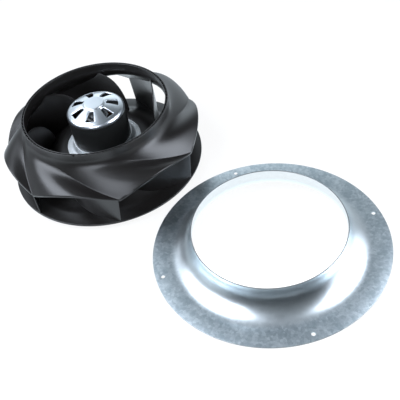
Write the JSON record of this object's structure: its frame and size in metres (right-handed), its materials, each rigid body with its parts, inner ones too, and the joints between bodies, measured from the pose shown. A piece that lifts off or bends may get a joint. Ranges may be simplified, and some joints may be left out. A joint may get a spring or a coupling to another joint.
{
  "type": "plug fan",
  "caption": "Motorised backward-curved plug fan: black wavy-shroud impeller on a vented external-rotor motor, with its galvanised trumpet inlet ring lying beside it.",
  "frame": {"origin": "centre of the motor flange face, where the shaft axis meets the mounting plane", "axes": "+Z along the shaft towards the inlet, +X towards the inlet ring lying beside the impeller"},
  "size_m": [0.5026, 0.26, 0.0954],
  "materials": {
    "cast_alloy": "die-cast, lightly blasted",
    "cap_plastic": "matt",
    "grommet_rubber": "matt",
    "stator_iron": "laminated, varnished",
    "insulator_resin": "moulded",
    "winding_copper": "enamelled wire",
    "bearing_steel": "ground",
    "shaft_steel": "ground",
    "zinc_plated_steel": "drawn, bright zinc plated",
    "rotor_iron": "laminated",
    "cage_aluminium": "pressure cast",
    "galvanised_steel": "galvanised sheet with fine spangle",
    "impeller_plastic": "satin, glass-filled"
  },
  "bodies": {
    "stator": {"motor_flange": "cast_alloy", "bottom_cap": "cap_plastic", "cable_grommet": "grommet_rubber", "stator_core": "stator_iron", "insulator_lower": "insulator_resin", "insulator_upper": "insulator_resin", "coil_1": "winding_copper", "coil_2": "winding_copper", "coil_3": "winding_copper", "coil_4": "winding_copper", "coil_5": "winding_copper", "coil_6": "winding_copper", "coil_7": "winding_copper", "coil_8": "winding_copper", "bearing_outer_lower": "bearing_steel", "bearing_outer_upper": "bearing_steel", "preload_washer": "bearing_steel"},
    "rotor": {"bearing_inner_lower": "bearing_steel", "bearing_inner_upper": "bearing_steel", "shaft": "shaft_steel", "circlip": "shaft_steel", "shaft_bush": "cast_alloy", "rotor_bell": "zinc_plated_steel", "rotor_core": "rotor_iron", "rotor_cage": "cage_aluminium", "hub_disc": "galvanised_steel", "back_plate": "impeller_plastic", "blade_1": "impeller_plastic", "blade_2": "impeller_plastic", "blade_3": "impeller_plastic", "blade_4": "impeller_plastic", "blade_5": "impeller_plastic", "blade_6": "impeller_plastic", "blade_7": "impeller_plastic", "shroud": "impeller_plastic", "inlet_collar": "impeller_plastic"},
    "lower_balls": {"ball_set_lower": "bearing_steel"},
    "upper_balls": {"ball_set_upper": "bearing_steel"},
    "ring": {"inlet_ring": "galvanised_steel"}
  },
  "joints": [
    {"name": "rotor_spin", "type": "hinge", "parent": "stator", "child": "rotor", "pos_m": [0, 0, 0], "axis": [0, 0, 1], "continuous": true},
    {"name": "lower_ball_orbit", "type": "hinge", "parent": "stator", "child": "lower_balls", "pos_m": [0, 0, 0.0125], "axis": [0, 0, 1], "continuous": true},
    {"name": "upper_ball_orbit", "type": "hinge", "parent": "stator", "child": "upper_balls", "pos_m": [0, 0, 0.0715], "axis": [0, 0, 1], "continuous": true},
    {"name": "ring_lift", "type": "slide", "parent": "stator", "child": "ring", "axis": [0, 0, 1], "range_m": [0, 0.15]}
  ],
  "couplings": [
    {"joint": "lower_ball_orbit", "follows": "rotor_spin", "ratio": 0.3677},
    {"joint": "upper_ball_orbit", "follows": "rotor_spin", "ratio": 0.3677}
  ]
}
